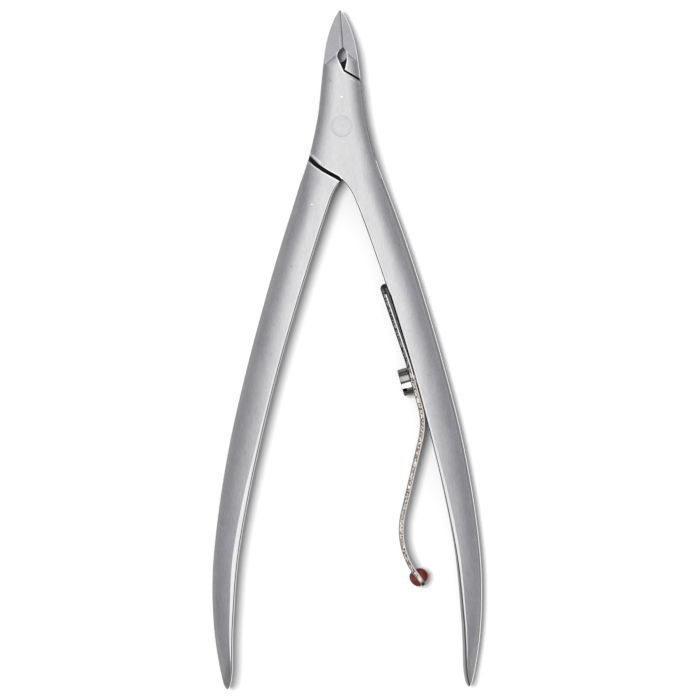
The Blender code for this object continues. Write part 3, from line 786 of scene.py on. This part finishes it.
def half_body(name, side, looks):
    """One half's handle and the whole width of the joint and jaws, at full thickness."""
    spread = [math.sin(math.pi / 2 * i / ROW_STEPS) for i in range(ROW_STEPS + 1)]
    rows = stations()
    worn_width = WORN_SPRING_SIDE if side > 0 else WORN_PLAIN_SIDE
    swells = SWELL_SPRING_SIDE if side > 0 else SWELL_PLAIN_SIDE
    bm = bmesh.new()
    made = {}

    def point(j, i, level):
        key = (j, i, level)
        if key not in made:
            y, scale, depth_scale = rows[j]
            c = LEVELS[level]
            burr = BURR * scale if c >= 0 else 0.0
            inner = curve(INNER, y) if y < CROTCH_Y else 0.0
            width = curve(OUTER, y)
            swell = curve(swells, y) * scale
            middle, reach = (width + inner) / 2, (width - inner) / 2 * scale
            near = middle - reach + swell + (burr if side < 0 else 0.0)
            far = middle + reach - (burr if side > 0 else 0.0)
            strip = curve(worn_width, y) * scale if inner > 0 else 0.0
            share = min(max(strip / (far - near), WORN_SHARE_MIN), WORN_SHARE_MAX)
            if i < ROW_STEPS:
                u = -spread[ROW_STEPS - i]
            else:
                u = 0.0 if i == ROW_STEPS else share + (1 - share) * spread[i - ROW_STEPS - 1]
            rise = TIP_BACK_RISE * max(0.0, (y - TIP_BACK_START) / (POINT.y - TIP_BACK_START)) ** 2
            top = curve(HALF_DEPTH, y) * depth_scale
            height = c * (top if c > 0 else top - rise) * crown(y, max(abs(u), share))
            if inner > 0:
                x = near + (far - near) * u
                if u == 0:
                    x -= swell * (1 - c * c)
                    height -= WORN_SLOPE * strip * c
            else:
                x = (width - (burr if u * side > 0 else 0.0)) * u
            spot = Vector((side * x + curve(LEAN, y), y, MID + height))
            made[key] = bm.verts.new(spot * MM)
        return made[key]

    cells = {(j, i) for j in range(len(rows) - 1) for i in range(2 * ROW_STEPS + 1)
             if i >= ROW_STEPS or rows[j][0] >= CROTCH_Y}
    last = len(LEVELS) - 1
    for j, i in sorted(cells):
        handle = rows[j][0] < CROTCH_Y
        corners = ((j, i), (j, i + 1), (j + 1, i + 1), (j + 1, i))
        for level in (0, last):
            face = bm.faces.new([point(*c, level) for c in corners])
            face.material_index = SATIN
            # The last rows on the spring side's handle take painted shade
            if handle and level == 0 and side > 0 and i > 2 * ROW_STEPS - SHADED_ROWS:
                face.material_index = SHADED
            elif handle and level == 0 and i == ROW_STEPS and rows[j][0] > WORN_FROM:
                face.material_index = WORN
        beyond = ((j - 1, i), (j, i + 1), (j + 1, i), (j, i - 1))
        for k, cell in enumerate(beyond):
            if cell not in cells:
                a, b = corners[k], corners[(k + 1) % 4]
                for level in range(last):
                    face = bm.faces.new((point(*a, level), point(*b, level), point(*b, level + 1),
                                         point(*a, level + 1)))
                    if level == BURR_LEVEL:
                        face.material_index = BURR_HIGHLIGHT
                    elif k == 3 and handle:
                        foot = side > 0 and level == BURR_LEVEL - 1
                        face.material_index = FOOT_WALL if foot else WALL
    obj = make_object(name, bm, looks["satin"])
    for look in ("worn", "spring_wall" if side > 0 else "wall", "bright", "side", "foot_wall"):
        obj.data.materials.append(looks[look])
    return obj


def cut_outline(obj, side, plate_edge, looks):
    """Trim the joint's full width to this half's own plate edges, eye edge and blade line."""
    heel = (side * HEEL.x - BLADE_GAP, HEEL.y)
    tip = side * POINT.x - BLADE_GAP
    upper = (UPPER_TRIM,) + plate_edge + (heel, (tip, POINT.y), (tip, TRIM_TOP), (CUT_REACH, TRIM_TOP))
    lower = LOWER_EDGE + LOWER_TRIM + ((LOWER_EDGE[0][0], LOWER_TRIM[-1][1]),)
    for outline in (upper, lower):
        flat = [(side * x, y) for x, y in outline]
        # The cut walls take the lap's painted shade
        tool = prism(flat, UP * -CUT_MARGIN, UP * (THICK + 2 * CUT_MARGIN), ACROSS, ALONG, looks["lap"])
        tool.data.materials.append(looks["worn"])
        if outline is upper:
            for k in range(2, len(plate_edge) + 1):
                tool.data.polygons[k].material_index = 1
        combine(obj, tool)


def cut_lap(obj, side, upper, material):
    """Half the thickness is taken away where the other half's plate crosses."""
    outline = upper + ((CUT_REACH, upper[-1][1]),) + LOWER_SHOULDER + ((-CUT_REACH, LOWER_SHOULDER[-1][1]),)
    outline = [(side * x, y) for x, y in outline]
    start = -CUT_MARGIN if side > 0 else MID - LAP_GAP / 2
    depth = MID + LAP_GAP / 2 + CUT_MARGIN
    # The cut faces take the lap's painted shade
    combine(obj, prism(outline, UP * start, UP * depth, ACROSS, ALONG, material))


def heel_height():
    return THICK - SHOULDER_RADIUS * (1 - math.cos(SHOULDER_ANGLE))


def crease(side):
    """A point on the crease behind one blade's facet, and the way across it towards the point."""
    drop = CREASE_DROP if side > 0 else 0.0
    away = Vector((side * math.sin(CREASE_ANGLE), math.cos(CREASE_ANGLE)))
    return Vector((HEEL.x, HEEL.y - drop)), away


def cut_facet(obj, side, looks):
    """Ground facet of one blade, with the rounded shoulder behind it and a worn line between them, toned
    bright as a painted highlight.
    """
    start, away = crease(side)
    down = Vector((side * away.y, -side * away.x, 0))
    reach = SHOULDER_RADIUS * math.sin(SHOULDER_ANGLE)
    turns = [SHOULDER_ANGLE * k / ARC_STEPS for k in range(ARC_STEPS + 1)]
    arc = [(SHOULDER_RADIUS * math.sin(t) - reach, THICK - SHOULDER_RADIUS * (1 - math.cos(t)))
           for t in turns]
    arc[0] = (-reach - SHOULDER_LEAD, THICK + SHOULDER_LIFT)
    worn = (CREASE_WEAR, heel_height() - CREASE_WEAR * CREASE_WEAR_SLOPE)
    far = (FACET_REACH, worn[1] - (FACET_REACH - worn[0]) * FACET_SLOPE)
    outline = arc + [worn, far, (FACET_REACH, CUT_REACH), (arc[0][0], CUT_REACH)]
    base = Vector((*start, 0)) - down * FACET_REACH
    tool = prism(outline, base, down * 2 * FACET_REACH, (*away, 0), UP, looks["ground"])
    tool.data.materials.append(looks["worn"])
    tool.data.materials.append(looks["satin"])
    tool.data.polygons[len(arc) - 1].material_index = 1
    for k in range(len(arc) - 1):
        tool.data.polygons[k].material_index = 2
    combine(obj, tool)


def top_height(x, y):
    """Height of the tool's front surface in the joint and at the shoulders behind the facets."""
    height = MID + curve(HALF_DEPTH, y) * crown(y, min(1.0, abs(x) / curve(OUTER, y)))
    reach = SHOULDER_RADIUS * math.sin(SHOULDER_ANGLE)
    for side in (-1, 1):
        start, away = crease(side)
        beyond = (Vector((x, y)) - start).dot(away)
        if side * (x - start.x) > -CREASE_OVERLAP and beyond > -reach:
            turn = math.asin(min(1.0, (beyond + reach) / SHOULDER_RADIUS))
            height = min(height, THICK - SHOULDER_RADIUS * (1 - math.cos(min(turn, SHOULDER_ANGLE))))
    return height


def edge_line():
    """Ridge line of the blades, heel to point, as a start and a direction to the point's height."""
    run = POINT - HEEL
    fall = FACET_SLOPE * math.cos(CREASE_ANGLE) * run.y
    start = Vector((HEEL.x, HEEL.y, heel_height()))
    return start, Vector((run.x, run.y, -fall))


def facet_fall(across):
    """Fall of a facet below the ridge line at a distance across it, level with the tool's width."""
    return FACET_SLOPE * math.sin(CREASE_ANGLE) * across


def cut_bevel(obj, looks):
    """Narrow honed strip along the cutting edge of the front half's blade, with a rubbed line behind it."""
    start, along = edge_line()
    worn, rear = facet_fall(BEVEL_WIDTH + BLADE_WEAR), -BEVEL_WIDTH - BLADE_WEAR
    low = -worn - BEVEL_SLOPE * (BEVEL_WIDTH + BEVEL_PAST)
    outline = [(rear, -worn), (-BEVEL_WIDTH, -worn), (BEVEL_PAST, low), (BEVEL_PAST, CUT_MARGIN),
               (rear, CUT_MARGIN)]
    tool = prism(outline, start - along * EDGE_CUT_LEAD, along * EDGE_CUT_RUN, ACROSS, UP, looks["honed"])
    tool.data.materials.append(looks["bright"])
    tool.data.polygons[0].material_index = 1
    combine(obj, tool)


def cut_edge_line(obj, looks):
    """Rubbed line along the cutting edge of the rear half's blade."""
    start, along = edge_line()
    fall = facet_fall(BLADE_WEAR)
    outline = [(-BEVEL_PAST, -fall), (BLADE_WEAR, -fall), (BLADE_WEAR, CUT_MARGIN), (-BEVEL_PAST, CUT_MARGIN)]
    base = start - along * EDGE_CUT_LEAD
    combine(obj, prism(outline, base, along * EDGE_CUT_RUN, ACROSS, UP, looks["bright"]))


def cut_hollow(obj, side, material):
    """The inner faces part behind the edge, so only a narrow land meets."""
    start, along = edge_line()
    spread, floor = HOLLOW_DEPTH * math.tan(HOLLOW_ANGLE), -EDGE_LAND - HOLLOW_DEPTH
    outline = [(0.0, -EDGE_LAND), (side * spread, floor), (-side * HOLLOW_BACK, floor),
               (-side * HOLLOW_BACK, -EDGE_LAND)]
    combine(obj, prism(outline, start - along * HOLLOW_LEAD, along * HOLLOW_RUN, ACROSS, UP, material))


def cut_rivet_hole(obj, material):
    head, shank = RIVET_HEAD_RADIUS + RIVET_FIT, RIVET_RADIUS + RIVET_FIT
    depth = RIVET_HEAD_DEPTH
    profile = [(0, -CUT_MARGIN), (head, -CUT_MARGIN), (head, 0.0), (shank, depth), (shank, THICK - depth),
               (head, THICK), (head, THICK + CUT_MARGIN), (0, THICK + CUT_MARGIN)]
    combine(obj, turned("hole", profile, ROUND_STEPS, Matrix.Identity(4), material))


def edge_flat_highlight(obj, side, line, material):
    """Shallow flat along a top edge of the half, toned bright as a painted highlight; the metal lies to the
    left of the line.
    """
    points = [Vector((side * p.x, p.y)) for p in refined(line, EDGE_WEAR_STEP)]
    if side < 0:
        points.reverse()
    rings = []
    slope = EDGE_WEAR_DROP / EDGE_WEAR
    for k, p in enumerate(points):
        run = (points[min(k + 1, len(points) - 1)] - points[max(k - 1, 0)]).normalized()
        off = Vector((run.y, -run.x))
        mark = p - off * EDGE_WEAR
        top = top_height(mark.x, mark.y)
        inner, outer = -EDGE_WEAR - EDGE_WEAR_REACH, EDGE_WEAR_REACH
        section = ((inner, EDGE_WEAR_REACH * slope), (outer, -EDGE_WEAR_DROP - outer * slope),
                   (outer, CUT_MARGIN), (inner, CUT_MARGIN))
        rings.append([(p.x + off.x * a, p.y + off.y * a, top + b) for a, b in section])
    combine(obj, loft("cutter", rings, material))


def hone_blade_face(obj, material):
    """The blades' meeting faces are honed, not given the lap's painted shade."""
    obj.data.materials.append(material)
    last = len(obj.data.materials) - 1
    for face in obj.data.polygons:
        facing = abs(face.normal.x) > HONED_FACING
        middle = abs(face.center.x) < HONED_HALF_WIDTH * MM
        if facing and middle and face.center.y > (HEEL.y - HONED_BELOW_HEEL) * MM:
            face.material_index = last


def make_front_half(looks):
    obj = half_body("front_half_steel", 1, looks)
    cut_outline(obj, 1, FRONT_PLATE_EDGE, looks)
    hone_blade_face(obj, looks["honed"])
    cut_lap(obj, 1, FRONT_SHOULDER, looks["lap"])
    cut_facet(obj, -1, looks)
    cut_bevel(obj, looks)
    cut_hollow(obj, -1, looks["worn"])
    edge_flat_highlight(obj, 1, (FRONT_WEAR_END,) + FRONT_PLATE_EDGE, looks["bright"])
    edge_flat_highlight(obj, 1, (LOWER_WEAR_END,) + LOWER_EDGE[::-1], looks["bright"])
    cut_rivet_hole(obj, looks["lap"])
    place = screw_place()
    radius, floor = SCREW_RADIUS + SCREW_FIT, -SCREW_LENGTH - HOLE_ROOM
    hole = [(0, floor - HOLE_POINT), (radius, floor), (radius, HOLE_MOUTH), (0, HOLE_MOUTH)]
    combine(obj, turned("hole", hole, HOLE_STEPS, place, looks["lap"]))
    shade(obj)
    put(obj, "front_half")


def make_rear_half(looks):
    obj = half_body("rear_half_steel", -1, looks)
    cut_outline(obj, -1, REAR_PLATE_EDGE, looks)
    hone_blade_face(obj, looks["honed"])
    cut_lap(obj, -1, REAR_SHOULDER, looks["lap"])
    eye = (EYE_BACK,) + EYE_EDGE + ((EYE_BACK[0], HEEL.y),)
    # The eye's floor takes the lap's painted shade
    combine(obj, prism(eye, UP * (MID - LAP_GAP / 2), UP * CUT_HEIGHT, ACROSS, ALONG, looks["lap"]))
    cut_facet(obj, 1, looks)
    cut_edge_line(obj, looks)
    cut_hollow(obj, 1, looks["worn"])
    edge_flat_highlight(obj, -1, (REAR_WEAR_END,) + REAR_SHOULDER[1:3], looks["bright"])
    edge_flat_highlight(obj, -1, [(-x, y) for x, y in EYE_EDGE], looks["bright"])
    edge_flat_highlight(obj, -1, LOWER_SHOULDER, looks["bright"])
    cut_rivet_hole(obj, looks["lap"])
    shade(obj)
    put(obj, "rear_half")


def make_rivet(looks):
    head, depth = RIVET_HEAD_RADIUS, RIVET_HEAD_DEPTH
    profile = [(0, 0), (head - RIVET_BREAK, 0), (head, RIVET_LIP), (RIVET_RADIUS, depth),
               (RIVET_RADIUS, THICK - depth), (head, THICK - RIVET_LIP), (head - RIVET_BREAK, THICK),
               (CENTRE_MARK, THICK), (0, THICK - CENTRE_MARK_DEPTH)]
    obj = turned("rivet_ground_flush", profile, ROUND_STEPS, Matrix.Identity(4), looks["rivet"])
    shade(obj)
    put(obj, "pivot_rivet")


# ------------------------------ spring, screw and button

def screw_place():
    """Frame at the screw: third axis off the handle's inner face, first axis along the handle."""
    joint = next(j for j in frame["joints"] if j["name"] == "spring_swing")
    off = Vector(joint["axis"]).normalized()
    place = Matrix((UP.cross(off), UP, off)).transposed().to_4x4()
    place.translation = Vector(joint["pos_m"]) / MM
    return place


def spring_path():
    """Centre line of the strip in the screw frame: straight runs joined by arcs."""
    corners = [(Vector((a, b)), r) for a, b, r in SPRING_CORNERS]
    path = [corners[0][0]]
    for (before, _), (corner, radius), (after, _) in zip(corners, corners[1:], corners[2:]):
        u, v = (before - corner).normalized(), (after - corner).normalized()
        half = u.angle(v) / 2
        cut = radius / math.tan(half)
        centre = corner + (u + v).normalized() * radius / math.sin(half)
        start, end = corner + u * cut - centre, corner + v * cut - centre
        sweep = math.pi - 2 * half
        steps = max(3, math.ceil(sweep / BEND_STEP))
        for k in range(steps + 1):
            w = k / steps
            mix = start * math.sin((1 - w) * sweep) + end * math.sin(w * sweep)
            path.append(centre + mix / math.sin(sweep))
    path.append(corners[-1][0])
    return path


def button_centre():
    """Centre of the button hole and the strip's direction there, in the screw frame."""
    last, before = (Vector(SPRING_CORNERS[k][:2]) for k in (-1, -2))
    along = (last - before).normalized()
    return last - along * BUTTON_ALONG, along


def strip_section(width, thick):
    """Section of the strip as (off the handle, across): rolled on one side, sharp on the other."""
    turns = [math.radians(a) for a in (0, 30, 60, 90)]
    half = thick / 2
    corner = [(half - STRIP_ROLL * (1 - math.cos(t)), width - STRIP_ROLL * (1 - math.sin(t))) for t in turns]
    top = corner + [(-STRIP_TORN, width), (-half + STRIP_LINE, width),
                    (-half + STRIP_CORNER, width - STRIP_CORNER_DROP), (-half, width - STRIP_CORNER)]
    return top + [(a, -b) for a, b in reversed(top)]


def make_spring(looks):
    place = screw_place()
    path = refined(spring_path(), STRIP_STEP)
    _, tail = button_centre()
    rounding = [path[-1] - tail * END_RING * (1 - math.sin(math.radians(a))) for a in RING_TURNS]
    path = [p for p in path if (p - rounding[0]).dot(tail) < -RING_ROOM or p.x < ARM_START] + rounding
    bm = bmesh.new()
    rows = []
    for i, p in enumerate(path):
        a, b = path[max(i - 1, 0)], path[min(i + 1, len(path) - 1)]
        run = (b - a).normalized()
        side = Vector((-run.y, run.x))
        beyond = (p - rounding[0]).dot(tail) if p.x > ARM_START else 0.0
        width = curve(STRIP_WIDTH, p.x) / 2 * math.sqrt(1 - (max(0.0, beyond) / END_RING) ** 2)
        spots = []
        thick = STRIP_THICK * curve(STRIP_LEFT, p.x)
        for off, across in strip_section(width, thick):
            q = p + side * off
            spots.append(bm.verts.new(place @ Vector((q.x, across, q.y)) * MM))
        rows.append(spots)
    count = len(rows[0])
    for low_p, low, high in zip(path, rows, rows[1:]):
        for i in range(count):
            j = (i + 1) % count
            face = bm.faces.new((low[i], low[j], high[j], high[i]))
            slot = SECTION_SLOTS.get(min(i, count - 2 - i), SIDE)
            # Along the tail the sides take the lap's painted shade and the line beside the torn edge a
            # painted highlight; on the hook that line is dark too
            if low_p.x < TAIL_START and slot in (SIDE, SATIN_LINE):
                slot = BRIGHT if slot == SATIN_LINE and low_p.x > HOOK_END else DARK_SIDE
            face.material_index = slot
    bm.faces.new(rows[0][::-1])
    bm.faces.new(rows[-1]).material_index = TORN
    obj = make_object("leaf_spring_strip", bm, looks["side"])
    for look in ("edge", "torn", "bright", "satin", "lap"):
        obj.data.materials.append(looks[look])
    reach = SEAT_OFF + STRIP_THICK
    radius, near, far = SCREW_RADIUS + SCREW_FIT, SEAT_OFF - reach, SEAT_OFF + reach
    hole = [(0, near), (radius, near), (radius, far), (0, far)]
    combine(obj, turned("hole", hole, HOLE_STEPS, place, looks["side"]))
    radius, reach = NECK_RADIUS + BUTTON_FIT, 2 * CUT_MARGIN
    hole = [(0, -reach), (radius, -reach), (radius, reach), (0, reach)]
    combine(obj, turned("hole", hole, NECK_STEPS, button_place(), looks["side"]))
    shade(obj)
    put(obj, "leaf_spring")


def make_screw(looks):
    head = SEAT_OFF + STRIP_THICK / 2 + HEAD_LIFT
    top = head + HEAD_HEIGHT
    round_off = HEAD_CHAMFER * CHAMFER_ROUND
    profile = [(0, -SCREW_LENGTH), (SCREW_RADIUS - SCREW_POINT, -SCREW_LENGTH),
               (SCREW_RADIUS, -SCREW_LENGTH + SCREW_POINT), (SCREW_RADIUS, head),
               (HEAD_RADIUS - HEAD_BREAK, head), (HEAD_RADIUS, head + HEAD_BREAK),
               (HEAD_RADIUS, top - HEAD_CHAMFER), (HEAD_RADIUS - round_off, top - round_off),
               (HEAD_RADIUS - HEAD_CHAMFER, top), (0, top)]
    place = screw_place()
    obj = turned("spring_screw_head", profile, ROUND_STEPS, place, looks["head"])
    half, far, over = SLOT_WIDTH / 2, HEAD_RADIUS + SLOT_PAST, top + SLOT_PAST
    outline = [(-half, top - SLOT_DEPTH), (half, top - SLOT_DEPTH), (half, over), (-half, over)]
    turn = Matrix.Rotation(SLOT_TURN, 3, "Z")
    axes = [place.to_3x3() @ turn @ v for v in (ACROSS, ALONG, UP)]
    base = place.translation - axes[1] * far
    combine(obj, prism(outline, base, axes[1] * 2 * far, axes[0], axes[2], looks["slot"]))
    shade(obj)
    put(obj, "spring_screw")


def button_place():
    """Frame on the button's axis at the strip's centre, third axis away from the handle."""
    centre, run = button_centre()
    base = screw_place()
    along = base.to_3x3() @ Vector((run.x, 0, run.y))
    off = base.to_3x3() @ Vector((-run.y, 0, run.x))
    place = Matrix((along, off.cross(along), off)).transposed().to_4x4()
    place.translation = base @ Vector((centre.x, 0, centre.y))
    return place


def dome(radius, height, base, steps, sign):
    """Quarter-ellipse profile from the rim to the axis."""
    turns = [math.pi / 2 * k / steps for k in range(steps)]
    points = [(radius * math.cos(t), base + sign * height * math.sin(t)) for t in turns]
    return points + [(0, base + sign * height)]


def make_button(looks):
    face = STRIP_THICK / 2 + BUTTON_FIT
    snap = dome(SNAP_RADIUS, SNAP_HEIGHT, -face, SNAP_STEPS, -1)[::-1]
    glide = dome(GLIDE_RADIUS, GLIDE_HEIGHT, face, GLIDE_STEPS, 1)
    profile = snap + [(NECK_RADIUS, -face), (NECK_RADIUS, face)] + glide
    obj = turned("glide_button_red", profile, BUTTON_STEPS, button_place(), looks["red"])
    shade(obj)
    put(obj, "glide_button")


bpy.context.scene.view_settings.view_transform = "Standard"
make_camera()
make_sky()
make_sun()
make_table()
all_looks = make_materials()
make_front_half(all_looks)
make_rear_half(all_looks)
make_rivet(all_looks)
make_spring(all_looks)
make_screw(all_looks)
make_button(all_looks)
